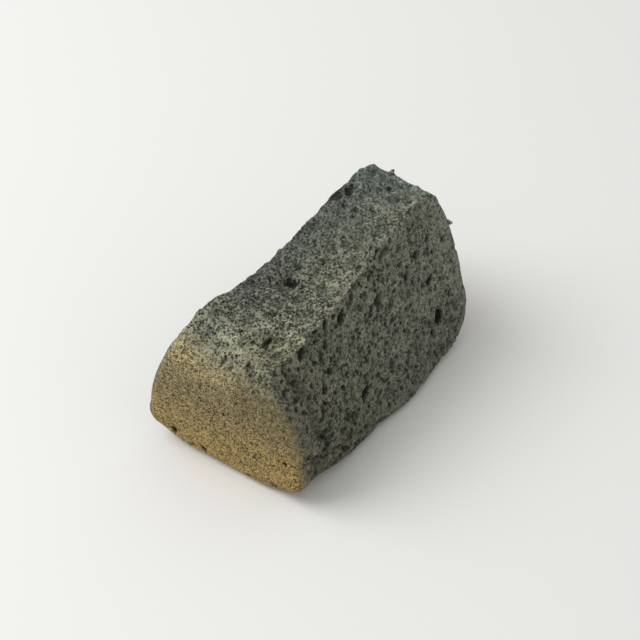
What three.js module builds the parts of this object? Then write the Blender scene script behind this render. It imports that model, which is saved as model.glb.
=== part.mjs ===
// A slice of ring-shaped chiffon cake lying on its outer wall, with the torn tube side up.
// Millimetres, +Z up. +Y runs from the browned pan-floor end to the risen end, and the two
// knife cuts face -X and +X. The origin is the middle of the underside.
import * as THREE from 'three';
import { ImprovedNoise } from 'three/addons/math/ImprovedNoise.js';
import { mergeVertices } from 'three/addons/utils/BufferGeometryUtils.js';

const { clamp, degToRad, lerp, seededRandom, smoothstep } = THREE.MathUtils;

// Overall form: a ring cake cut by two planes that meet on its axis, high above the slice
const LENGTH = 95; // pan-floor end to risen end, along the middle
const CAKE_RADIUS = 100; // underside to the axis of the ring
const AXIS_FALL = 0.108; // the axis comes down by this much per millimetre towards the risen end
const CUT_HALF_ANGLE = degToRad(15.7);
const SIDE_SWELL = { left: 0.6, right: 4 }; // the soft near end stands out past the cut planes
const NEAR_REACH = 0.6; // share of the length over which the near end's swelling and skew fade out

// Underside: flat along the middle, curling up to the two long edges, most of all at the near corners
const FLAT_SHARE = 0.4; // of the half width
const CURL_NEAR = 7;
const CURL_FAR = 1.5;
const CURL_REACH = 0.3; // share of the length over which the near curl fades out

// Torn tube side: it climbs to the risen end, hollow across, with one wavy long edge
const TOP_NEAR = 46;
const TOP_FAR = 55.5;
const CLIMB_START = -42;
const CLIMB_END = 37;
const CLIMB_POWER = 1.25;
const HOLLOW_DEPTH = 2;
const WAVE_HEIGHT = 2.8;
const WAVE_LENGTH = 64;
const WAVE_CREST = -39;
const FAR_TILT = 0.8; // at the risen end the left edge is higher and the right edge lower by this much
const TILT_REACH = 0.25; // share of the length over which the far tilt takes over from the wave

// Ends: the pan-floor end is slightly skewed and swollen, the risen end is domed
const NEAR_SKEW = degToRad(7);
const NEAR_SWELL = 1.5;
const DOME_LEAN = 6.8; // the dome's upper edge stands back by this much
const DOME_WIDEST = 0.5; // share of the height where the dome reaches furthest
const DOME_POWER = 2.6;
const DOME_REACH = 0.5; // share of the length that leans with the dome

// Corner radii of the long profile, before the cuts
const NOMINAL_HEIGHT = 50;
const NEAR_RADII = { bottom: 4, top: 9 };
const FAR_RADII = { bottom: 14, top: 3 };

// Relief: torn crags on the tube side, open pores on the cuts, a nearly smooth browned skin
const CRAG_HEIGHT = 1.1;
const CRAG_SPACING = 6;
const CRUMB_HEIGHT = 0.7;
const CRUMB_SPACING = 2.7;
const CUT_WAVE_HEIGHT = 0.5;
const CUT_WAVE_SPACING = 17;
const PORE_CHANCE = 0.14;
const PORE_DEPTH = 1.5;
const SKIN_WAVE_HEIGHT = 0.3;
const SKIN_WAVE_SPACING = 11;
const EDGE_WEAR = 0.6; // crumbled off the knife-cut edges
const TORN_FACING = { start: 0.5, full: 0.85 }; // upward part of the normal
const CUT_FACING = { start: 0.6, full: 0.9 }; // sideways part of the normal
const FLOOR_CLEARANCE = 2; // the relief fades in over this height, so the underside stays flat
const RELIEF_SEED = 20;

// The largest holes: torn out of the tube side, baked into the foot of the skin, open on the right cut
const HOLES = [
  { at: [-4, -10, 47], radius: 3.4, depth: 2.6 },
  { at: [-8, 23, 57], radius: 3.2, depth: 1.8 },
  { at: [-12, 1, 48], radius: 3, depth: 1.6 },
  { at: [-13, -16, 46], radius: 3, depth: 1.5 },
  { at: [7, -34, 46], radius: 3, depth: 1.6 },
  { at: [-18, -50, 8], radius: 2.2, depth: 1.6 },
  { at: [-11, -49, 5], radius: 2, depth: 1.2 },
  { at: [-7, -49, 5], radius: 2.2, depth: 1.6 },
  { at: [21, 32, 16], radius: 2.6, depth: 1.8 },
  { at: [19, 31, 30], radius: 2.2, depth: 1.6 },
  { at: [25, -10, 17], radius: 2.4, depth: 1.6 },
  { at: [26, 12, 6], radius: 3.2, depth: 1.2 },
].map((hole) => ({ ...hole, at: new THREE.Vector3(...hole.at) }));

// Cells of the surface grid
const CELLS = { across: 22, along: 50, up: 24 };

const CRUMB_COLOR = 0x5a5c50;

const HALF_LENGTH = LENGTH / 2;
const HALF_HEIGHT = NOMINAL_HEIGHT / 2;
const noise = new ImprovedNoise();

// 1 at the near end, falling smoothly to 0 at this share of the length
function nearEnd(along, reach) {
  return 1 - smoothstep(along, -HALF_LENGTH, -HALF_LENGTH + reach * LENGTH);
}

// 1 at the far end, falling smoothly to 0 at this share of the length
function farEnd(along, reach) {
  return smoothstep(along, HALF_LENGTH - reach * LENGTH, HALF_LENGTH);
}

// Rounds the corners of the long profile, ring by ring from the outline to the middle
function roundedProfile(v, w) {
  const ring = Math.max(Math.abs(v), Math.abs(w));
  if (ring === 0) return { along: 0, up: 0.5 };
  const radii = v < 0 ? NEAR_RADII : FAR_RADII;
  const radius = w < 0 ? radii.bottom : radii.top;
  const outline = new THREE.Vector2((v / ring) * HALF_LENGTH, (w / ring) * HALF_HEIGHT);
  const inner = new THREE.Vector2(
    clamp(outline.x, radius - HALF_LENGTH, HALF_LENGTH - radius),
    clamp(outline.y, radius - HALF_HEIGHT, HALF_HEIGHT - radius),
  );
  const rounded = outline.sub(inner).setLength(radius).add(inner).multiplyScalar(ring);
  return { along: rounded.x, up: 0.5 + rounded.y / NOMINAL_HEIGHT };
}

// Height of the torn tube side, u = -1 on the wavy left edge and 1 on the straight right edge
function topHeight(along, u) {
  const climb = clamp((along - CLIMB_START) / (CLIMB_END - CLIMB_START), 0, 1);
  const farness = farEnd(along, TILT_REACH);
  const wave = WAVE_HEIGHT * (1 - farness) * Math.cos((2 * Math.PI * (along - WAVE_CREST)) / WAVE_LENGTH);
  const hollow = HOLLOW_DEPTH * (1 - u * u) * (1 - climb);
  const tilt = FAR_TILT * farness * u;
  return lerp(TOP_NEAR, TOP_FAR, climb ** CLIMB_POWER) + (wave * (1 - u)) / 2 - hollow - tilt;
}

// Height of the underside, zero along the flat middle
function underHeight(along, u) {
  const curl = lerp(CURL_FAR, CURL_NEAR, nearEnd(along, CURL_REACH));
  return curl * Math.max(0, (Math.abs(u) - FLAT_SHARE) / (1 - FLAT_SHARE)) ** 2;
}

// Carries a point of the cube from -1 to 1 onto the smooth slice
function slicePoint(u, v, w) {
  const { along, up } = roundedProfile(v, w);
  const nearness = nearEnd(along, NEAR_REACH);
  const farness = farEnd(along, DOME_REACH);
  const middle = 4 * up * (1 - up);
  const lean = Math.max(0, (up - DOME_WIDEST) / (1 - DOME_WIDEST)) ** DOME_POWER;
  const z = lerp(underHeight(along, u), topHeight(along, u), up);
  const toAxis = CAKE_RADIUS - AXIS_FALL * along - z;
  const swell = nearness * middle * (u < 0 ? SIDE_SWELL.left : SIDE_SWELL.right);
  const x = u * (toAxis * Math.tan(CUT_HALF_ANGLE) + swell);
  const nearShift = nearness * (x * Math.tan(NEAR_SKEW) * Math.sqrt(middle) - NEAR_SWELL * middle);
  const farShift = farness * DOME_LEAN * lean;
  return new THREE.Vector3(x, along + nearShift - farShift, z);
}

function roughness(point, spacing) {
  return noise.noise(point.x / spacing, point.y / spacing, point.z / spacing);
}

// How deep the nearest of the largest holes reaches at a point
function holeDepth(point) {
  const depths = HOLES.map(({ at, radius, depth }) => {
    const share = Math.min(1, point.distanceTo(at) / radius);
    return depth * (1 - share * share);
  });
  return Math.max(...depths);
}

// Height of the relief along the normal: crags where it is torn, pores where it is cut
function relief(point, normal, onCutEdge) {
  const torn = smoothstep(normal.z, TORN_FACING.start, TORN_FACING.full);
  const cut = smoothstep(Math.abs(normal.x), CUT_FACING.start, CUT_FACING.full);
  const skin = 1 - Math.max(torn, cut);
  const pore = seededRandom() < PORE_CHANCE ? PORE_DEPTH * seededRandom() : 0;
  const crags = CRAG_HEIGHT * roughness(point, CRAG_SPACING);
  const crumbs = CRUMB_HEIGHT * roughness(point, CRUMB_SPACING);
  const height =
    torn * (crags + crumbs - pore) +
    cut * (CUT_WAVE_HEIGHT * roughness(point, CUT_WAVE_SPACING) - pore) +
    skin * SKIN_WAVE_HEIGHT * roughness(point, SKIN_WAVE_SPACING) -
    holeDepth(point) -
    (onCutEdge ? EDGE_WEAR : 0);
  return height * smoothstep(point.z, 0, FLOOR_CLEARANCE);
}

function cakeSliceGeometry() {
  const box = new THREE.BoxGeometry(2, 2, 2, CELLS.across, CELLS.along, CELLS.up);
  box.deleteAttribute('normal');
  box.deleteAttribute('uv');
  const geometry = mergeVertices(box);
  const position = geometry.getAttribute('position');
  const cube = position.clone();
  for (let i = 0; i < position.count; i += 1) {
    const point = slicePoint(cube.getX(i), cube.getY(i), cube.getZ(i));
    position.setXYZ(i, point.x, point.y, point.z);
  }
  geometry.computeVertexNormals();
  const normals = geometry.getAttribute('normal');
  seededRandom(RELIEF_SEED);
  for (let i = 0; i < position.count; i += 1) {
    const point = new THREE.Vector3().fromBufferAttribute(position, i);
    const normal = new THREE.Vector3().fromBufferAttribute(normals, i);
    const onOutline = Math.max(Math.abs(cube.getY(i)), Math.abs(cube.getZ(i))) === 1;
    const onCutEdge = onOutline && Math.abs(cube.getX(i)) === 1;
    point.addScaledVector(normal, relief(point, normal, onCutEdge));
    position.setXYZ(i, point.x, point.y, point.z);
  }
  geometry.computeVertexNormals();
  geometry.computeBoundingBox();
  const middle = geometry.boundingBox.getCenter(new THREE.Vector3());
  return geometry.translate(-middle.x, -middle.y, 0);
}

const cakeSlice = new THREE.Mesh(
  cakeSliceGeometry(),
  new THREE.MeshStandardMaterial({ color: CRUMB_COLOR, roughness: 0.95, metalness: 0 }),
);
cakeSlice.name = 'cake_slice';

const chiffonCake = new THREE.Group();
chiffonCake.add(cakeSlice);

export default chiffonCake;
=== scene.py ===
"""Looks of the chiffon cake slice: open crumb, torn tube side, browned skin and loose crumbs."""
import math
from collections import namedtuple
from functools import reduce

import bmesh
import bpy
import numpy as np
from mathutils import Matrix, Vector, kdtree


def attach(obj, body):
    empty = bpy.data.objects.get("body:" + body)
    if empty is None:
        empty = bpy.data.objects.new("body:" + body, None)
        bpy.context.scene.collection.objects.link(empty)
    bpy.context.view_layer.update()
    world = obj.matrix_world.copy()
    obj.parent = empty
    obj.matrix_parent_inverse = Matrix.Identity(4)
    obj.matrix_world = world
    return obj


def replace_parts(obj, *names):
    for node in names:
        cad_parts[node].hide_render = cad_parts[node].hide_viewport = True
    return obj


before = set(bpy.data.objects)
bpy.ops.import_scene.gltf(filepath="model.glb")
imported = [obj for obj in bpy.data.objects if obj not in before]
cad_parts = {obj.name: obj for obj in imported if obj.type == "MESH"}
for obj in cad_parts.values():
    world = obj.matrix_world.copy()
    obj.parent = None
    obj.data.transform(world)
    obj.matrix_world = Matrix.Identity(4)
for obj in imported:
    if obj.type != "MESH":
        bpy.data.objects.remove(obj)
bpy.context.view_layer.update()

MM = 0.001
X, Y, Z = 0, 1, 2
SEED = 7

# Camera: the photograph's viewing angle, with the slice's origin below the middle of the frame
CAMERA_AZIMUTH = math.radians(37.37)
CAMERA_ELEVATION = math.radians(43.85)
CAMERA_DISTANCE = 626 * MM
FRAME_MIDDLE = (0.99 * MM, 19.56 * MM)
LENS = 112.5  # millimetres, as is the sensor's width
SENSOR = 36

# Light: a large soft lamp high on the near left, and an even pale surround
KEY_PLACE = (-0.62, -0.42, 0.9)
KEY_SIZE = 0.8
KEY_POWER = 9.0
SURROUND_STRENGTH = 0.58
SURROUND_COLOUR = (250, 250, 248)  # sRGB from 0 to 255, like every colour here

# Floor: pale and almost even
FLOOR_REACH = 3.0
FLOOR_COLOURS = ((236, 236, 234), (240, 240, 238))
FLOOR_NOISE = (0.3, 2.0)  # spacing and detail
FLOOR_GLOSS = {"Roughness": 0.6, "Specular IOR Level": 0.2}

# Fine surface of the slice
WELD_DISTANCE = 0.001 * MM
FACING_PASSES = 7
SUBDIVISIONS = 3
TRIANGLES = 196_000

# The cuts' outlines stay crisp, apart from the near right edge, which is soft
CUT_SIDE = 0.48  # sideways part of the averaged normal that tells a cut from the other sides
EDGE_CREASE = 0.9
SOFT_EDGE = (0, -36 * MM, 5 * MM)  # right of, nearer than and above these, the edge is soft

# Where each kind of surface starts and is complete, by how far its smoothed normal faces that way
TORN_FACING = (0.3, 0.8)
NEAR_SKIN_FACING = (-0.1, 0.95)
FAR_SKIN_FACING = (0.35, 1.0)
UNDER_SKIN_FACING = (0.35, 0.9)
CUT_SHARE = (0.3, 0.7)  # share of cut faces around a point where the cut starts and is complete
CUT_WANDER = 0.25  # how far the ragged noise moves the outline of the cut
SOFT_CUT_FACING = (0.4, 1.0)  # where the cut starts and is complete at the soft near right edge
SOFT_CUT_REACH = (-30 * MM, -38 * MM)  # the soft edge takes over along this stretch
SHOULDER_LOSS = 0.6  # the browned skin is torn off where an end rounds over to the tube side
FLOOR_CLEARANCE = 2 * MM  # the relief fades in over this height

# Where the skin and the cut reach further or less far round: place and reach in millimetres, amount
SKIN_SHIFTS = (((-12.0, -43.5, 45.0), 11.0, 0.4), ((16.5, -42.0, 42.5), 12.0, -0.5))
CUT_SHIFTS = (((16.5, -42.0, 42.5), 13.0, 0.6),)

# Noise fields that are added up: strength, spacing and seed of each
SIDE_RAGS = ((0.12, 1.2 * MM, 3), (0.16, 4 * MM, 4))
PORE_RAGS = ((0.3, 1.3 * MM, 11), (0.2, 0.6 * MM, 12))
CREASE_RAGS = ((0.4, 2.5 * MM, 14),)
CRAGS = ((0.65 * MM, 3.6 * MM, 21), (0.4 * MM, 1.9 * MM, 21))
SKIN_SWELL = ((0.07 * MM, 1.1 * MM, 31),)
LUMP_BUMPS = ((0.8, 0.7, 41),)  # on a loose crumb with a radius of 1
NOISE_CELLS = 32  # a field repeats after this many spacings
CALM_NEAR = 10 * MM  # the crags fade out this close to the near end
CALM_FAR = 7 * MM  # and this close to the far end

# Directions that the pores are drawn out along, before they are laid into the surface
CUT_GRAIN = (0, 0.7, 0.7)
TORN_GRAIN = (0, 1, 0)
SKIN_GRAIN = (0, 0, 1)
GRAIN_SCATTER = 0.35

# Random pores of the cuts and the torn side
RandomPores = namedtuple("RandomPores", "count radii depths grain lip rag")  # depths over the radius
SMALL_PORES = RandomPores(
    count=7500, radii=(0.28 * MM, 1.15 * MM), depths=(0.5, 1.1), grain=CUT_GRAIN, lip=0.1, rag=1,
)
SMALL_PITS = RandomPores(
    count=140, radii=(0.35 * MM, 0.9 * MM), depths=(0.5, 0.9), grain=TORN_GRAIN, lip=0.1, rag=1.8,
)
PORE_FALL = 1.95  # the higher, the fewer large ones there are
LONGEST_STRETCH = 0.1  # up to this much longer than wide
POOR_ENDS = 17 * MM  # near both ends of the cuts the crumb is denser and the pores are fewer
POOR_SHARE = 0.15

# Large pores that show: place in millimetres, half width in millimetres, height over width
PlacedPores = namedtuple("PlacedPores", "depth grain lip rag table")  # depth over the half width
CUT_HOLES = PlacedPores(depth=0.85, grain=CUT_GRAIN, lip=0.35, rag=1, table=(
    ((16.2, -9.3, 44.5), 2.0, 1.2), ((15.6, -16.0, 46.4), 1.6, 1.4), ((16.6, -28.3, 45.1), 1.6, 1.6),
    ((17.9, -19.1, 41.5), 1.3, 1.2), ((19.1, -22.4, 39.4), 1.2, 1.2), ((21.0, -21.0, 34.6), 1.3, 1.1),
    ((20.9, -15.5, 31.7), 1.2, 1.3), ((22.4, -25.0, 31.1), 1.8, 1.1), ((23.7, -7.4, 16.3), 1.6, 2.6),
    ((21.5, -2.9, 25.9), 1.4, 1.5), ((21.5, 34.1, 15.5), 2.3, 1.5), ((23.3, 29.4, 12.8), 1.4, 1.4),
    ((18.0, 33.7, 29.0), 1.2, 2.8), ((21.1, 40.9, 20.2), 1.3, 1.4), ((15.3, 29.4, 41.0), 1.3, 1.6),
    ((15.0, 36.3, 42.6), 1.3, 2.0), ((16.9, 22.9, 37.2), 1.4, 1.4), ((17.5, 4.0, 37.8), 1.3, 2.2),
    ((16.1, 8.5, 38.5), 1.2, 1.5), ((14.3, 7.2, 47.4), 1.3, 1.3), ((15.1, -2.7, 46.9), 1.2, 1.4),
    ((27.3, -18.4, 10.0), 1.3, 2.0), ((24.5, -28.8, 25.7), 1.2, 1.2),
))
TORN_HOLES = PlacedPores(depth=1.25, grain=TORN_GRAIN, lip=0.1, rag=2, table=(
    ((-3.9, -6.8, 44.7), 1.5, 1.0), ((-5.6, -5.8, 45.0), 0.9, 1.2), ((-1.8, -6.0, 45.3), 0.9, 1.4),
    ((-8.4, 27.1, 55.0), 1.7, 1.3), ((-0.4, 36.8, 54.0), 1.1, 1.2), ((-6.0, 21.7, 54.3), 0.9, 1.0),
    ((-5.2, -2.4, 46.3), 1.0, 1.2), ((0.0, 3.4, 47.8), 1.1, 1.3), ((0.8, -21.3, 45.9), 1.2, 1.5),
    ((5.8, -30.3, 44.9), 1.0, 2.2), ((-2.9, -32.5, 46.2), 0.9, 2.0), ((-0.9, -42.4, 44.3), 0.7, 1.3),
    ((6.8, -41.0, 45.1), 0.7, 1.2), ((9.6, 13.8, 51.7), 0.9, 1.2),
))
SKIN_HOLES = PlacedPores(depth=1.6, grain=SKIN_GRAIN, lip=0.6, rag=1, table=(
    ((-18.0, -46.9, 6.6), 1.3, 1.0), ((-11.5, -46.4, 3.9), 0.9, 1.0), ((-7.6, -46.0, 4.2), 1.3, 1.0),
    ((18.2, -44.4, 3.9), 0.8, 1.0), ((22.1, -44.3, 15.7), 0.7, 1.4), ((11.6, -45.3, 12.5), 0.5, 1.0),
    ((1.7, -46.9, 25.9), 0.5, 1.6), ((-3.2, -47.5, 24.0), 0.5, 1.0),
))

# Limits of every pore
RAG_FLOOR = 0.4  # keeps ragged rims from reaching too far
PORE_SEARCH = 2  # a pore is carved within this many radii
# Painted shade in the carved pores and holes grows with their depth
PORE_SHADE_DEPTH = 0.5 * MM  # a pore this deep looks dark
HOLE_SHADE_DEPTH = 1.0 * MM  # one of CUT_HOLES or SKIN_HOLES this deep looks darker still

# Broad bulges and dents: place, reach and height in millimetres
SOFT_FORMS = (
    ((22.6, 7.0, 19.1), 3.2, -0.8), ((25.3, 15.9, 5.7), 3.4, -0.8), ((25.7, -18.8, 16.7), 2.8, -0.7),
    ((27.5, -22.7, 8.1), 2.8, -0.7), ((24.5, 30.7, 5.3), 3.0, -0.7), ((-25.5, -47.5, 10.0), 7.5, 0.7),
    ((13.0, 43.0, 52.5), 5.0, 1.2), ((-17.0, -42.0, 46.0), 6.0, -0.8),
    ((-22.0, -47.5, 30.0), 12.0, 0.5), ((-14.8, -30.0, 47.8), 9.0, 0.9), ((-11.5, 36.0, 56.0), 6.5, 1.3),
    ((27.2, 13.0, 1.5), 20.0, 1.9), ((26.5, -42.0, 6.5), 9.0, 1.0), ((17.5, -41.5, 43.0), 10.0, -1.3),
    ((-12.6, 3.8, 46.4), 3.2, 1.0), ((-13.8, -12.6, 44.3), 3.2, 1.0),
)

# Crease where the right cut meets the swollen near end, in millimetres
CREASE = (
    (15.8, -34.9, 45.3), (19.2, -35.7, 41.1), (21.7, -33.4, 35.1), (24.1, -33.3, 29.9),
    (25.9, -33.2, 22.6), (27.1, -29.9, 16.2), (27.0, -36.2, 8.6),
)
CREASE_WIDTH = 2.8 * MM
CREASE_DEPTH = 1.1 * MM

# Packed cells: the torn walls of the tube side, and the finer crumb of the cuts
TORN_CELL = 1.1 * MM
TORN_DEPTHS = (-0.5 * MM, 0.8 * MM)  # the raised cells are crumbs
CUT_CELL = 0.95 * MM
CUT_DEPTHS = (0.02 * MM, 0.25 * MM)
CELL_LIMIT = 0.01  # there are no cells where their side's share is below this
WALL_REACH = 0.9  # share of a cell's width over which its walls slope
WALL_POWER = 1.5  # above 1 the walls between the cells are broad and the pits small

# Painted shade in sunken crumb: how dark the torn cells, crags, the cuts' shallow cells and the crease
# are painted
SUNK_SHADE_DEPTH = 1 * MM  # torn cells and crags this deep look dark
CUT_CELL_SHADE = 3  # the depth of the cuts' shallow cells counts this many times
CREASE_SHADE = 0.65

# Loose crumbs: random ones on the torn side and its edges, and some stated stray or pale ones
CRUMB_COUNT = 90
CRUMB_RADII = (0.22 * MM, 0.6 * MM)
CRUMB_FALL = 2.2
EDGE_FAVOUR = 1.4  # the nearer to 1, the more of them lie on the edges
STRAY_CRUMBS = ((14.3, 47.6, 41.3), (-2.9, 42.0, 56.3), (3.5, 42.6, 54.7), (10.6, 42.4, 53.7))
STRAY_RADII = (0.49 * MM, 0.7 * MM)
STRAY_LIFT = 0.7  # a stray crumb's middle stands out by this share of its radius
PALE_CRUMBS = (
    (4.1, 24.6, 53.6), (7.8, 25.0, 53.7), (4.1, 20.9, 53.8), (11.1, 27.6, 53.3), (6.9, 30.9, 55.2),
    (8.8, 27.0, 53.9),
)
PALE_RADII = (0.3 * MM, 0.6 * MM)
PALE_SPREAD = 1.0  # millimetres, like the places
PALE_CLUSTER = 3
LUMP_DIVISIONS = 2
LUMP_FIELD = 30  # each crumb takes its bumps from a random place in a field this wide
LUMP_STRETCH = (0.5, 1.3)

# Colours of the crumb, a pair going from dark to light
CUT_COLOURS = ((92, 93, 82), (134, 134, 119))
TORN_COLOURS = ((64, 67, 60), (186, 187, 171))
CALM_COLOUR = (116, 118, 107)
PATCH_COLOUR = (80, 85, 77)
SPECK_COLOUR = (44, 46, 38)
PALE_COLOUR = (182, 177, 148)
# painted shade: the colour that sunken crumb and the crease are darkened towards
SUNK_SHADE_COLOUR = (46, 48, 41)
# painted shade: the colour that carved pores and holes are darkened towards
PORE_SHADE_COLOUR = (32, 34, 29)

# Colours of the skin, a pair going from its upper part to its foot
DULL_SKIN = ((135, 122, 88), (174, 148, 95))
PALE_SKIN = ((184, 167, 125), (218, 189, 127))
WORN_COLOUR = (116, 103, 72)
FIBRE_COLOUR = (62, 55, 37)
UPPER_PORE_COLOUR = (52, 50, 37)

# Regions: ramps to be multiplied, each an axis and the places in millimetres where it is 0 and 1
NEAR_FLECKS = ((Y, -15, -37),)
NEAR_SPECKS = ((Y, -16, -36),)
TORN_BACK = ((Y, -16, 0), (Y, 36, 22))
TORN_CALM = ((Y, -8, 24),)
# the near right shoulder, which gets painted shade
RIGHT_SHOULDER_SHADE = ((Y, -20, -36), (X, -2, 9))
LEFT_SIDE = ((X, 8, -8),)
FAR_PORES = ((Y, -10, 40),)
SKIN_FOOT = ((Z, 42, 0),)
UPPER_SKIN = ((Z, 30, 46),)
LEFTWARD_SKIN = ((X, 12, 1),)

# Tints: a region, and the factors on red, green and blue outside and inside it
PLAIN = (1.0, 1.0, 1.0)
CUT_TINTS = (
    (((Y, -45, 12),), (1.1, 1.09, 1.07), (1.39, 1.4, 1.43)),
    # painted shade: the cuts darker towards the floor
    (((Z, 6, 26),), (0.8, 0.8, 0.8), PLAIN),
)
TORN_TINTS = (
    (((Y, -37, -15),), (0.92, 0.91, 0.84), (0.58, 0.59, 0.6)),
    # painted shade on the near right shoulder, where the torn side turns away towards the cut
    (RIGHT_SHOULDER_SHADE, PLAIN, (0.52, 0.52, 0.52)),
    (((Y, -15, 45),), PLAIN, (1.5, 1.61, 1.69)),
    (TORN_BACK, PLAIN, (0.82, 0.81, 0.77)),
    # painted shade along the left edge and painted light along the right ridge of the torn side
    (((X, -14, 14),), (0.87, 0.89, 0.92), (1.4, 1.36, 1.25)),
)
CRUMB_TINTS = ((((Y, -45, 45),), (1.02, 1.0, 0.97), (0.99, 1.0, 1.02)),)
UPPER_TINTS = ((LEFTWARD_SKIN, (0.7, 0.7, 0.7), (1.85, 1.85, 1.85)),)
# painted shade: the skin darker towards the right, where the near end turns away from the lamp
SKIN_TINTS = ((((X, -20, 24),), (0.98, 1.0, 1.04), (0.87, 0.87, 0.87)),)
CLUMP_TINT = ((0.86, 0.89, 0.87), (1.1, 1.08, 1.07))
# painted shade: the cut colours are set for the right cut, which is in shade, so the left cut, which
# faces the lamp, is darkened to match
LEFT_CUT_SHADE = (0.62, 0.62, 0.59)

# Noise of the material: spacing and detail, and for a layer the values where it is 0 and 1
CRUMB_NOISE = (0.55 * MM, 3.0)
FINE_FLECKS = (0.34 * MM, 1.0)
OUTLINE_FLECKS = (1.3 * MM, 3.0)
FOOT_WANDER = (9 * MM, 2.0)
CLUMPS = (2.2 * MM, 2.0, 0.35, 0.65)
PATCHES = (4 * MM, 3.0, 0.4, 0.75)
SKIN_MOTTLE = (0.5 * MM, 2.0, 0.4, 0.7)
SKIN_WEAR = (1.7 * MM, 2.0, 0.4, 0.75)
GRIT_DETAIL = 3.0
WOBBLE_DETAIL = 2.0
WOBBLE = 0.7  # uneven cells are shifted by up to this share of the spacing

# Grit: spacing and share of single grains
TORN_GRIT = (0.7 * MM, 0.3)
FIBRE_GRIT = (0.42 * MM, 0.3)

# Dark specks: spacing, then inner and outer radius as shares of it
CRUMB_SPECKS = (1.0 * MM, 0.12, 0.52)
UPPER_SPECKS = (1.2 * MM, 0.15, 0.5)
SKIN_SPECKS = (  # with their colour and strength
    ((0.9 * MM, 0.12, 0.45), (54, 48, 33), 0.85),
    ((2.4 * MM, 0.1, 0.24), (46, 42, 28), 0.7),
)
SPECK_SIZES = (0.45, 1.3)

# Values where a share made from noise is 0 and 1
CUT_RAMP = (0.3, 0.7)
TORN_RAMP = (0.37, 0.7)
FOOT_RAMP = (0.1, 0.9)
FIBRE_RAMP = (0.5, 0.34)

# Strengths of what is added up or mixed in
NEAR_FLECK_GAIN = 0.1
BACK_FLECK_GAIN = 0.07
FINE_FLECK_GAIN = 0.45
OUTLINE_FLECK_GAIN = 4.5
FOOT_WANDER_GAIN = 0.4
CALM_SHARE = 0.5
PATCH_SHARE = 0.5
PALE_SHARE = 0.5
WORN_SHARE = 0.5
FIBRE_SHARE = 0.9
UPPER_SPECK_SHARE = 0.85
SUNK_SHADE_SHARE = 0.6
CUT_SPECK_SHARE = 0.8
TORN_SPECK_SHARE = 0.5  # rises by the next two amounts at the near end and at the back
NEAR_SPECK_GAIN = 0.5
BACK_SPECK_GAIN = 0.25
PORE_SHADE_SHARE = 0.72  # changes by the next amount towards the far end
FAR_PORE_SHADE_GAIN = -0.2
HOLE_SHADE_SHARE = 0.9

# Fine relief and gloss of the material
BUMP_STRENGTH = 0.9
FINE_BUMP = 0.3 * MM
TORN_BUMP = 0.5 * MM
CRUMB_GLOSS = {"Roughness": 0.95, "Specular IOR Level": 0.15}

Pore = namedtuple("Pore", "centre radius depth stretch axis")
Crumb = namedtuple("Crumb", "centre radius lift pale")
rng = np.random.default_rng(SEED)


def smoothstep(low, high, value):
    share = np.clip((value - low) / (high - low), 0, 1)
    return share * share * (3 - 2 * share)


def lattice_noise(points, spacing, seed):
    """Smooth random field from -1 to 1 with bumps about one spacing apart."""
    table = np.random.default_rng(seed).uniform(-1, 1, (NOISE_CELLS,) * 3)
    cell = points / spacing + seed
    base = np.floor(cell).astype(int)
    share = smoothstep(0, 1, cell - base)
    total = np.zeros(len(points))
    for corner in np.ndindex(2, 2, 2):
        index = (base + corner) % NOISE_CELLS
        weight = np.prod(np.where(corner, share, 1 - share), axis=1)
        total += weight * table[tuple(index.T)]
    return total


def summed_noise(points, fields):
    """Sum of noise fields, each given by its strength, spacing and seed."""
    return sum(strength * lattice_noise(points, spacing, seed) for strength, spacing, seed in fields)


def power_law(count, sizes, fall):
    """Random sizes, many near the smallest and few near the largest."""
    smallest, largest = sizes
    return np.minimum(smallest * (1 - rng.random(count)) ** (-1 / fall), largest)


def make_tree(points):
    tree = kdtree.KDTree(len(points))
    for index, point in enumerate(points):
        tree.insert(point, index)
    tree.balance()
    return tree


def applied(mesh, kind, **settings):
    """The mesh after one modifier; the mesh given is removed."""
    holder = bpy.data.objects.new("holder", mesh)
    bpy.context.scene.collection.objects.link(holder)
    modifier = holder.modifiers.new("modifier", kind)
    for name, value in settings.items():
        setattr(modifier, name, value)
    evaluated = holder.evaluated_get(bpy.context.evaluated_depsgraph_get())
    result = bpy.data.meshes.new_from_object(evaluated)
    bpy.data.objects.remove(holder)
    bpy.data.meshes.remove(mesh)
    return result


def read_vectors(items, name):
    values = np.empty(len(items) * 3, np.float32)
    items.foreach_get(name, values)
    return values.reshape(-1, 3).astype(float)


def read_values(items, name):
    values = np.empty(len(items), np.float32)
    items.foreach_get(name, values)
    return values.astype(float)


def store(mesh, name, values):
    attribute = mesh.attributes.new(name, "FLOAT", "POINT")
    attribute.data.foreach_set("value", values.astype(np.float32))


def find_cuts(bm):
    """For each face, whether it belongs to a knife cut."""
    is_cut = {}
    for face in bm.faces:
        around = {other for vert in face.verts for other in vert.link_faces}
        average = sum((other.normal for other in around), Vector()).normalized()
        is_cut[face] = abs(average.x) > CUT_SIDE
    return is_cut


def crisp_edges(bm, is_cut):
    """Corner pairs of the edges where a knife cut meets another side."""
    crisp = set()
    for edge in bm.edges:
        first, second = edge.link_faces
        middle = (edge.verts[0].co + edge.verts[1].co) / 2
        soft = middle.x > SOFT_EDGE[X] and middle.y < SOFT_EDGE[Y] and middle.z > SOFT_EDGE[Z]
        if is_cut[first] != is_cut[second] and not soft:
            crisp.add(frozenset(vert.index for vert in edge.verts))
    return crisp


def smoothed_normals(bm):
    """The corners' normals, averaged with their neighbours' several times over."""
    normals = [vert.normal.copy() for vert in bm.verts]
    neighbours = [[edge.other_vert(vert).index for edge in vert.link_edges] for vert in bm.verts]
    for _ in range(FACING_PASSES):
        normals = [
            sum((normals[other] for other in near), normals[index]).normalized()
            for index, near in enumerate(neighbours)
        ]
    return normals


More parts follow.
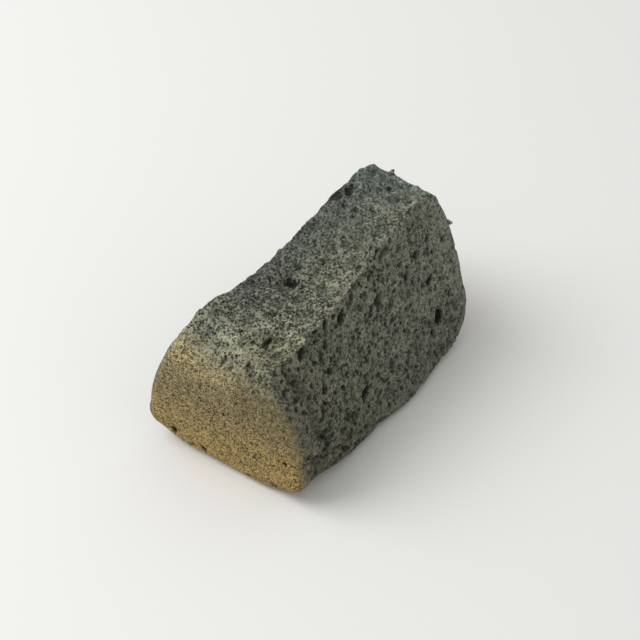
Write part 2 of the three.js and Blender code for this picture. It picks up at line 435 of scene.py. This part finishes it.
def refined_slice():
    """The CAD slice as a smooth dense mesh, with smoothed normals and shares of cut faces kept."""
    bm = bmesh.new()
    bm.from_mesh(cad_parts["cake_slice"].data)
    bmesh.ops.remove_doubles(bm, verts=bm.verts, dist=WELD_DISTANCE)
    bmesh.ops.join_triangles(
        bm, faces=bm.faces, angle_face_threshold=math.pi, angle_shape_threshold=math.pi,
    )
    bm.normal_update()
    bm.verts.index_update()
    corners = [vert.co.copy() for vert in bm.verts]
    faces = [[vert.index for vert in face.verts] for face in bm.faces]
    normals = smoothed_normals(bm)
    is_cut = find_cuts(bm)
    crisp = crisp_edges(bm, is_cut)
    cut_shares = [np.mean([is_cut[face] for face in vert.link_faces]) for vert in bm.verts]
    bm.free()
    coarse = bpy.data.meshes.new("coarse")
    coarse.from_pydata(corners, [], faces)
    crease = coarse.attributes.new("crease_edge", "FLOAT", "EDGE")
    for edge, item in zip(coarse.edges, crease.data):
        item.value = EDGE_CREASE if frozenset(edge.vertices) in crisp else 0
    store(coarse, "cut_share", np.array(cut_shares))
    facing = coarse.attributes.new("facing", "FLOAT_VECTOR", "POINT")
    facing.data.foreach_set("vector", np.array(normals, np.float32).ravel())
    return applied(coarse, "SUBSURF", levels=SUBDIVISIONS)


class Surface:
    """The fine slice's points, where they are torn, cut or skin, and the relief to carve into them."""

    def __init__(self, mesh):
        self.mesh = mesh
        self.points = read_vectors(mesh.vertices, "co")
        self.normals = read_vectors(mesh.vertex_normals, "vector")
        self.tree = make_tree(self.points)
        x, y, z = read_vectors(mesh.attributes["facing"].data, "vector").T
        cut_share = read_values(mesh.attributes["cut_share"].data, "value")
        ragged = summed_noise(self.points, SIDE_RAGS)
        cut = smoothstep(*CUT_SHARE, cut_share + CUT_WANDER * ragged)
        soft_cut = smoothstep(*SOFT_CUT_FACING, x + self.forms(CUT_SHIFTS))
        near_right = smoothstep(*SOFT_CUT_REACH, self.points[:, Y]) * (self.points[:, X] > 0)
        cut += near_right * (soft_cut - cut)
        self.uncut = 1 - cut
        shoulder = SHOULDER_LOSS * np.maximum(z, 0)
        near_skin = smoothstep(*NEAR_SKIN_FACING, ragged - y - shoulder + self.forms(SKIN_SHIFTS))
        self.skin = np.maximum.reduce([
            near_skin * np.where(x < 0, self.uncut, 1),
            smoothstep(*FAR_SKIN_FACING, ragged + y - shoulder) * self.uncut,
            smoothstep(*UNDER_SKIN_FACING, ragged - z) * self.uncut,
        ])
        self.torn = smoothstep(*TORN_FACING, z) * self.uncut
        self.cut = cut * (1 - self.skin)
        self.clear = smoothstep(0, FLOOR_CLEARANCE, self.points[:, Z])

    def nearest(self, place):
        return self.tree.find([value * MM for value in place])[1]

    def forms(self, table):
        """Sum of soft domes at each point, from their places, reaches and heights."""
        heights = np.zeros(len(self.points))
        for place, reach, height in table:
            distances = np.linalg.norm(self.points - np.array(place) * MM, axis=1)
            heights += height * (1 - smoothstep(0, reach * MM, distances))
        return heights

    def pore(self, centre, radius, depth, stretch, grain):
        """A pore drawn out along the part of the grain that lies in the surface."""
        normal = self.normals[centre]
        axis = grain - (grain @ normal) * normal
        return Pore(centre, radius, depth * radius, stretch, axis / np.linalg.norm(axis))

    def random_pores(self, kind, weight):
        """Pores at random points, as likely as the weight says, in many small and few large sizes."""
        centres = rng.choice(len(self.points), size=kind.count, p=weight / weight.sum())
        for centre, radius in zip(centres, power_law(kind.count, kind.radii, PORE_FALL)):
            grain = np.array(kind.grain) + GRAIN_SCATTER * rng.normal(size=3)
            depth = rng.uniform(*kind.depths)
            yield self.pore(centre, radius, depth, 1 + LONGEST_STRETCH * rng.random(), grain)

    def placed_pores(self, kind):
        """Pores at stated places."""
        for place, radius, stretch in kind.table:
            yield self.pore(self.nearest(place), radius * MM, kind.depth, stretch, np.array(kind.grain))

    def carve_pores(self, kind, pores):
        """How deep the pores reach at each point: cups with ragged rims, fully deep up to the lip."""
        depths = np.zeros(len(self.points))
        ragged = np.maximum(1 + kind.rag * summed_noise(self.points, PORE_RAGS), RAG_FLOOR)
        for pore in pores:
            middle = self.points[pore.centre]
            found = self.tree.find_range(middle, pore.radius * pore.stretch * PORE_SEARCH)
            near = np.array([index for _, index, _ in found])
            offset = self.points[near] - middle
            along = offset @ pore.axis
            across = np.linalg.norm(offset - along[:, None] * pore.axis, axis=1)
            reach = np.hypot(along / pore.stretch, across) * ragged[near] / pore.radius
            depth = pore.depth * (1 - smoothstep(kind.lip, 1, reach))
            depths[near] = np.maximum(depths[near], depth)
        return depths

    def carve_cells(self, weight, width, depths):
        """Packed cells with walls between, each sunk by its own depth, or raised by a negative one."""
        sunk = np.zeros(len(self.points))
        inside = np.flatnonzero(weight > CELL_LIMIT)
        count = int(len(inside) * self.point_area() / width ** 2)
        centres = self.points[rng.choice(inside, size=count)]
        tree = make_tree(centres)
        cell_depths = rng.uniform(*depths, len(centres))
        for index in inside:
            (_, first, near), (_, _, far) = tree.find_n(self.points[index], 2)
            from_wall = min(1, (far - near) / (WALL_REACH * width))
            sunk[index] = cell_depths[first] * from_wall ** WALL_POWER
        return weight * sunk

    def point_area(self):
        areas = read_values(self.mesh.polygons, "area")
        return areas.sum() / len(self.points)

    def carve_crease(self):
        """How much of the crease's depth each point has."""
        corners = np.array(CREASE) * MM
        nearest = np.full(len(self.points), np.inf)
        for start, end in zip(corners[:-1], corners[1:]):
            step = end - start
            share = np.clip((self.points - start) @ step / (step @ step), 0, 1)
            distances = np.linalg.norm(self.points - start - share[:, None] * step, axis=1)
            nearest = np.minimum(nearest, distances)
        ragged = 1 + summed_noise(self.points, CREASE_RAGS)
        return 1 - smoothstep(0, CREASE_WIDTH, nearest * ragged)


def carve(surface):
    """Moves the points along their normals, and keeps the depths for the material."""
    along = surface.points[:, Y]
    to_near = along - along.min()
    to_far = along.max() - along
    inner = POOR_SHARE + (1 - POOR_SHARE) * smoothstep(0, POOR_ENDS, np.minimum(to_near, to_far))
    cut = surface.cut * inner
    pores = surface.carve_pores(SMALL_PORES, surface.random_pores(SMALL_PORES, cut))
    pits = surface.carve_pores(SMALL_PITS, surface.random_pores(SMALL_PITS, surface.torn))
    cut_holes, torn_holes, skin_holes = [
        surface.carve_pores(kind, surface.placed_pores(kind))
        for kind in (CUT_HOLES, TORN_HOLES, SKIN_HOLES)
    ]
    dark_holes = np.maximum(cut_holes, skin_holes)
    open_pores = np.maximum.reduce([pores * surface.cut, pits * surface.torn, torn_holes, dark_holes])
    torn_cells = surface.carve_cells(surface.torn, TORN_CELL, TORN_DEPTHS)
    cut_cells = surface.carve_cells(cut, CUT_CELL, CUT_DEPTHS)
    inside = smoothstep(0, CALM_NEAR, to_near) * smoothstep(0, CALM_FAR, to_far)
    crags = summed_noise(surface.points, CRAGS) * (surface.torn * inside)
    forms = surface.forms(SOFT_FORMS) * MM
    skin = summed_noise(surface.points, SKIN_SWELL) * surface.skin
    crease = surface.carve_crease()
    height = forms + crags - torn_cells - cut_cells + skin - CREASE_DEPTH * crease - open_pores
    surface.points += surface.normals * (height * surface.clear)[:, None]
    surface.mesh.vertices.foreach_set("co", surface.points.astype(np.float32).ravel())
    # painted shade: how sunk the cells, crag valleys and crease are, kept for the material to darken
    sunk = np.maximum(torn_cells, 0) + CUT_CELL_SHADE * cut_cells + np.maximum(-crags, 0)
    store(surface.mesh, "skin", surface.skin)
    store(surface.mesh, "uncut", surface.uncut)
    store(surface.mesh, "sunk", np.minimum(sunk / SUNK_SHADE_DEPTH + CREASE_SHADE * crease, 1))
    # painted shade: how deep the pores and holes are, kept for the material to darken
    store(surface.mesh, "pore", np.clip(open_pores / PORE_SHADE_DEPTH, 0, 1))
    store(surface.mesh, "hole", np.clip(dark_holes / HOLE_SHADE_DEPTH, 0, 1))
    for name in ("facing", "cut_share"):
        surface.mesh.attributes.remove(surface.mesh.attributes[name])
    surface.mesh.update()


def lump(radius):
    """Corners and faces of one irregular crumb."""
    bm = bmesh.new()
    bmesh.ops.create_icosphere(bm, subdivisions=LUMP_DIVISIONS, radius=1)
    corners = np.array([vert.co for vert in bm.verts])
    faces = np.array([[vert.index for vert in face.verts] for face in bm.faces])
    bm.free()
    bumps = 1 + summed_noise(corners + rng.uniform(0, LUMP_FIELD, 3), LUMP_BUMPS)
    return corners * bumps[:, None] * rng.uniform(*LUMP_STRETCH, 3) * radius, faces


def scattered_crumbs(surface):
    """Random crumbs on the torn side and its edges, then the stray ones, then clusters of pale ones."""
    weight = surface.torn * (EDGE_FAVOUR - surface.torn) * (1 - surface.skin)
    centres = rng.choice(len(surface.points), size=CRUMB_COUNT, p=weight / weight.sum())
    for centre, radius in zip(centres, power_law(CRUMB_COUNT, CRUMB_RADII, CRUMB_FALL)):
        yield Crumb(centre, radius, lift=0, pale=0)
    for place in STRAY_CRUMBS:
        yield Crumb(surface.nearest(place), rng.uniform(*STRAY_RADII), lift=STRAY_LIFT, pale=0)
    for place in np.repeat(PALE_CRUMBS, PALE_CLUSTER, axis=0):
        centre = surface.nearest(place + PALE_SPREAD * rng.normal(size=3))
        yield Crumb(centre, rng.uniform(*PALE_RADII), lift=0, pale=1)


def crumb_mesh(surface):
    """Loose crumbs, each sunk into the surface it lies on."""
    crumbs = list(scattered_crumbs(surface))  # all drawn before the first lump, which has its own draws
    corners, faces, pale = [], [], []
    for crumb in crumbs:
        shape, sides = lump(crumb.radius)
        lift = crumb.lift * crumb.radius
        middle = surface.points[crumb.centre] + lift * surface.normals[crumb.centre]
        faces.append(sides + sum(map(len, corners)))
        corners.append(shape + middle)
        pale.append(np.full(len(shape), crumb.pale))
    mesh = bpy.data.meshes.new("loose_crumbs")
    mesh.from_pydata(np.concatenate(corners).tolist(), [], np.concatenate(faces).tolist())
    store(mesh, "uncut", np.ones(len(mesh.vertices)))
    store(mesh, "pale", np.concatenate(pale))
    return mesh


def linear(colour):
    """An sRGB colour from 0 to 255 as the linear colour that shaders take."""
    shares = [value / 255 for value in colour]
    return (*[s / 12.92 if s <= 0.04045 else ((s + 0.055) / 1.055) ** 2.4 for s in shares], 1)


class Graph:
    """A material's node tree, built node by node."""

    def __init__(self, name):
        self.material = bpy.data.materials.new(name)
        self.material.use_nodes = True
        self.tree = self.material.node_tree
        self.shader = self.tree.nodes["Principled BSDF"]
        self.place = self.add("TexCoord").outputs["Object"]

    def add(self, kind, inputs=None, **settings):
        node = self.tree.nodes.new("ShaderNode" + kind)
        for name, value in settings.items():
            setattr(node, name, value)
        self.feed(node, inputs or {})
        return node

    def feed(self, node, inputs):
        for key, value in inputs.items():
            if isinstance(value, bpy.types.NodeSocket):
                self.tree.links.new(value, node.inputs[key])
            else:
                node.inputs[key].default_value = value

    def math(self, operation, *values):
        return self.add("Math", dict(enumerate(values)), operation=operation).outputs[0]

    def times(self, value, factor):
        return self.math("MULTIPLY", value, factor)

    def plus(self, value, share, gain):
        """The value plus the gain times the share."""
        return self.math("MULTIPLY_ADD", share, gain, value)

    def rest(self, share):
        """What the share leaves of 1."""
        return self.math("SUBTRACT", 1.0, share)

    def ramp(self, value, low, high, start=0.0, end=1.0):
        inputs = dict(enumerate((value, low, high, start, end)))
        return self.add("MapRange", inputs, interpolation_type="SMOOTHSTEP").outputs[0]

    def region(self, ramps):
        """1 well inside a region and 0 well outside."""
        axes = self.add("SeparateXYZ", {0: self.place}).outputs
        shares = [self.ramp(axes[axis], low * MM, high * MM) for axis, low, high in ramps]
        return reduce(self.times, shares)

    def attribute(self, name):
        return self.add("Attribute", attribute_name=name).outputs["Fac"]

    def mix(self, share, first, second, blend="MIX"):
        """A mix of two colours, fed by number because the node's sockets share names."""
        node = self.add("Mix", data_type="RGBA", blend_type=blend)
        self.feed(node, {0: share, 6: first, 7: second})
        return node.outputs[2]

    def between(self, share, colours):
        """A mix of two stated colours."""
        return self.mix(share, *map(linear, colours))

    def towards(self, colour, goal, share, strength):
        """The colour, mixed with the stated goal by the share times the strength."""
        return self.mix(self.times(share, strength), colour, linear(goal))

    def tint(self, colour, share, outside, inside):
        """The colour times one factor where the share is 0 and another where it is 1."""
        return self.mix(1.0, colour, self.mix(share, (*outside, 1), (*inside, 1)), "MULTIPLY")

    def tints(self, colour, table):
        """The colour after every tint of the table."""
        for ramps, outside, inside in table:
            colour = self.tint(colour, self.region(ramps), outside, inside)
        return colour

    def field(self, spacing, detail):
        return self.add("TexNoise", {"Vector": self.place, "Scale": 1 / spacing, "Detail": detail})

    def noise(self, spacing, detail):
        """Smooth noise around a half."""
        return self.field(spacing, detail).outputs["Fac"]

    def ripple(self, spacing, detail):
        """Smooth noise around 0."""
        return self.math("SUBTRACT", self.noise(spacing, detail), 0.5)

    def layer(self, spacing, detail, low, high):
        """1 where the noise is high and 0 where it is low."""
        return self.ramp(self.noise(spacing, detail), low, high)

    def cells(self, spacing):
        """Uneven cells about one spacing apart."""
        wobble = self.field(spacing, WOBBLE_DETAIL).outputs["Color"]
        shift = {0: wobble, 1: (WOBBLE * spacing,) * 3, 2: self.place}
        shifted = self.add("VectorMath", shift, operation="MULTIPLY_ADD").outputs[0]
        return self.add("TexVoronoi", {"Vector": shifted, "Scale": 1 / spacing})

    def chance(self, cells):
        """A random value from 0 to 1 for each cell."""
        return self.add("SeparateColor", {0: cells.outputs["Color"]}).outputs[0]

    def grit(self, spacing, share):
        """Smooth noise mixed with grains of random brightness, a share of them."""
        smooth = self.times(self.noise(spacing, GRIT_DETAIL), 1 - share)
        return self.plus(smooth, self.chance(self.cells(spacing)), share)

    def specks(self, spacing, inner, outer):
        """Irregular specks about one spacing apart: 1 inside, 0 between."""
        cells = self.cells(spacing)
        size = self.ramp(self.chance(cells), 0.0, 1.0, *SPECK_SIZES)
        return self.ramp(self.math("DIVIDE", cells.outputs["Distance"], size), inner, outer, 1.0, 0.0)


def torn_colour(graph, coarse):
    """Rough crumb of the torn side: flecked near, dark in the middle, calm and cool at the back."""
    lighter = graph.plus(coarse, graph.region(NEAR_FLECKS), NEAR_FLECK_GAIN)
    lighter = graph.plus(lighter, graph.region(TORN_BACK), BACK_FLECK_GAIN)
    lighter = graph.plus(lighter, graph.ripple(*FINE_FLECKS), FINE_FLECK_GAIN)
    colour = graph.between(graph.ramp(lighter, *TORN_RAMP), TORN_COLOURS)
    colour = graph.towards(colour, CALM_COLOUR, graph.region(TORN_CALM), CALM_SHARE)
    return graph.tints(colour, TORN_TINTS)


def crumb_colour(graph, grain, coarse, specks):
    """Grey-green crumb with fine dark specks, coarser where it is torn, warmer near and cooler far."""
    uncut = graph.attribute("uncut")
    cut_colour = graph.tints(graph.between(graph.ramp(grain, *CUT_RAMP), CUT_COLOURS), CUT_TINTS)
    colour = graph.mix(uncut, cut_colour, torn_colour(graph, coarse))
    colour = graph.tints(colour, CRUMB_TINTS)
    colour = graph.tint(colour, graph.layer(*CLUMPS), *CLUMP_TINT)
    colour = graph.towards(colour, PATCH_COLOUR, graph.layer(*PATCHES), PATCH_SHARE)
    # painted shade on the left cut, which faces the lamp
    left_cut_shade = graph.times(graph.region(LEFT_SIDE), graph.rest(uncut))
    colour = graph.tint(colour, left_cut_shade, PLAIN, LEFT_CUT_SHADE)
    torn_share = graph.plus(TORN_SPECK_SHARE, graph.region(NEAR_SPECKS), NEAR_SPECK_GAIN)
    torn_share = graph.plus(torn_share, graph.region(TORN_BACK), BACK_SPECK_GAIN)
    speck_share = graph.ramp(uncut, 0.0, 1.0, CUT_SPECK_SHARE, torn_share)
    colour = graph.towards(colour, SPECK_COLOUR, specks, speck_share)
    return graph.towards(colour, PALE_COLOUR, graph.attribute("pale"), PALE_SHARE)


def skin_colour(graph):
    """Tan skin full of fine dark fibrous pores, dull above and ochre at the foot."""
    low = graph.plus(graph.region(SKIN_FOOT), graph.ripple(*FOOT_WANDER), FOOT_WANDER_GAIN)
    foot = graph.ramp(low, *FOOT_RAMP)
    colour = graph.mix(
        graph.layer(*SKIN_MOTTLE), graph.between(foot, DULL_SKIN), graph.between(foot, PALE_SKIN),
    )
    upper = graph.region(UPPER_SKIN)
    colour = graph.mix(upper, colour, graph.tints(colour, UPPER_TINTS))
    colour = graph.towards(colour, WORN_COLOUR, graph.layer(*SKIN_WEAR), WORN_SHARE)
    colour = graph.tints(colour, SKIN_TINTS)
    fibres = graph.ramp(graph.grit(*FIBRE_GRIT), *FIBRE_RAMP)
    colour = graph.towards(colour, FIBRE_COLOUR, fibres, FIBRE_SHARE)
    for specks, speck_colour, strength in SKIN_SPECKS:
        colour = graph.towards(colour, speck_colour, graph.specks(*specks), strength)
    upper_pores = graph.times(graph.specks(*UPPER_SPECKS), upper)
    return graph.towards(colour, UPPER_PORE_COLOUR, upper_pores, UPPER_SPECK_SHARE)


def crumb_material():
    """One material for the slice and its crumbs, led by the attributes kept at their points."""
    graph = Graph("cake_crumb")
    grain = graph.noise(*CRUMB_NOISE)
    specks = graph.specks(*CRUMB_SPECKS)
    coarse = graph.grit(*TORN_GRIT)
    skin = graph.attribute("skin")
    flecks = graph.times(graph.ripple(*OUTLINE_FLECKS), OUTLINE_FLECK_GAIN)
    skin = graph.plus(skin, graph.times(skin, graph.rest(skin)), flecks)
    colour = graph.mix(skin, crumb_colour(graph, grain, coarse, specks), skin_colour(graph))
    # painted shade in sunken crumb and the crease
    colour = graph.towards(colour, SUNK_SHADE_COLOUR, graph.attribute("sunk"), SUNK_SHADE_SHARE)
    # painted shade in the carved pores and holes, weaker towards the far end
    pore_shade_share = graph.plus(PORE_SHADE_SHARE, graph.region(FAR_PORES), FAR_PORE_SHADE_GAIN)
    pores = graph.times(graph.attribute("pore"), pore_shade_share)
    holes = graph.times(graph.attribute("hole"), HOLE_SHADE_SHARE)
    colour = graph.mix(graph.math("MAXIMUM", pores, holes), colour, linear(PORE_SHADE_COLOUR))
    fine_relief = graph.add("Bump", {
        "Strength": BUMP_STRENGTH,
        "Distance": FINE_BUMP,
        "Height": graph.math("SUBTRACT", grain, specks),
    })
    torn = graph.times(graph.attribute("uncut"), graph.rest(skin))
    relief = graph.add("Bump", {
        "Strength": graph.times(torn, BUMP_STRENGTH),
        "Distance": TORN_BUMP,
        "Height": coarse,
        "Normal": fine_relief.outputs[0],
    })
    graph.feed(graph.shader, {"Base Color": colour, "Normal": relief.outputs[0], **CRUMB_GLOSS})
    return graph.material


def floor_material():
    graph = Graph("floor")
    colour = graph.between(graph.noise(*FLOOR_NOISE), FLOOR_COLOURS)
    graph.feed(graph.shader, {"Base Color": colour, **FLOOR_GLOSS})
    return graph.material


def add_object(name, data, material=None):
    made = bpy.data.objects.new(name, data)
    bpy.context.scene.collection.objects.link(made)
    if material:
        data.materials.append(material)
    return made


def add_piece(name, mesh, material):
    mesh.name = name
    mesh.polygons.foreach_set("use_smooth", np.ones(len(mesh.polygons), bool))
    piece = add_object(name, mesh, material)
    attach(piece, "root")
    return piece


def make_cake(material):
    surface = Surface(refined_slice())
    carve(surface)
    crumbs = crumb_mesh(surface)
    fine_triangles = 2 * len(surface.mesh.polygons)  # every face has four corners
    mesh = applied(surface.mesh, "DECIMATE", ratio=TRIANGLES / fine_triangles)
    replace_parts(add_piece("cake", mesh, material), "cake_slice")
    add_piece("loose_crumbs", crumbs, material)


def make_camera():
    azimuth, elevation = CAMERA_AZIMUTH, CAMERA_ELEVATION
    back = Vector((
        math.sin(azimuth) * math.cos(elevation),
        -math.cos(azimuth) * math.cos(elevation),
        math.sin(elevation),
    ))
    right = Vector((math.cos(azimuth), math.sin(azimuth), 0))
    up = back.cross(right)
    across, above = FRAME_MIDDLE
    place = CAMERA_DISTANCE * back + across * right + above * up
    camera = add_object("camera", bpy.data.cameras.new("camera"))
    camera.data.lens = LENS
    camera.data.sensor_width = SENSOR
    camera.matrix_world = Matrix.Translation(place) @ Matrix((right, up, back)).transposed().to_4x4()
    bpy.context.scene.camera = camera


def make_floor():
    reach = FLOOR_REACH
    corners = [(-reach, -reach, 0), (reach, -reach, 0), (reach, reach, 0), (-reach, reach, 0)]
    mesh = bpy.data.meshes.new("floor")
    mesh.from_pydata(corners, [], [(0, 1, 2, 3)])
    add_object("floor", mesh, floor_material())


def make_light():
    light = bpy.data.lights.new("key", "AREA")
    light.size = KEY_SIZE
    light.energy = KEY_POWER
    lamp = add_object("key", light)
    lamp.location = KEY_PLACE
    lamp.rotation_euler = (-Vector(KEY_PLACE)).to_track_quat("-Z", "Y").to_euler()
    world = bpy.data.worlds.new("studio")
    world.use_nodes = True
    background = world.node_tree.nodes["Background"]
    background.inputs["Color"].default_value = linear(SURROUND_COLOUR)
    background.inputs["Strength"].default_value = SURROUND_STRENGTH
    bpy.context.scene.world = world


bpy.context.scene.view_settings.view_transform = "Standard"
make_camera()
make_floor()
make_light()
make_cake(crumb_material())
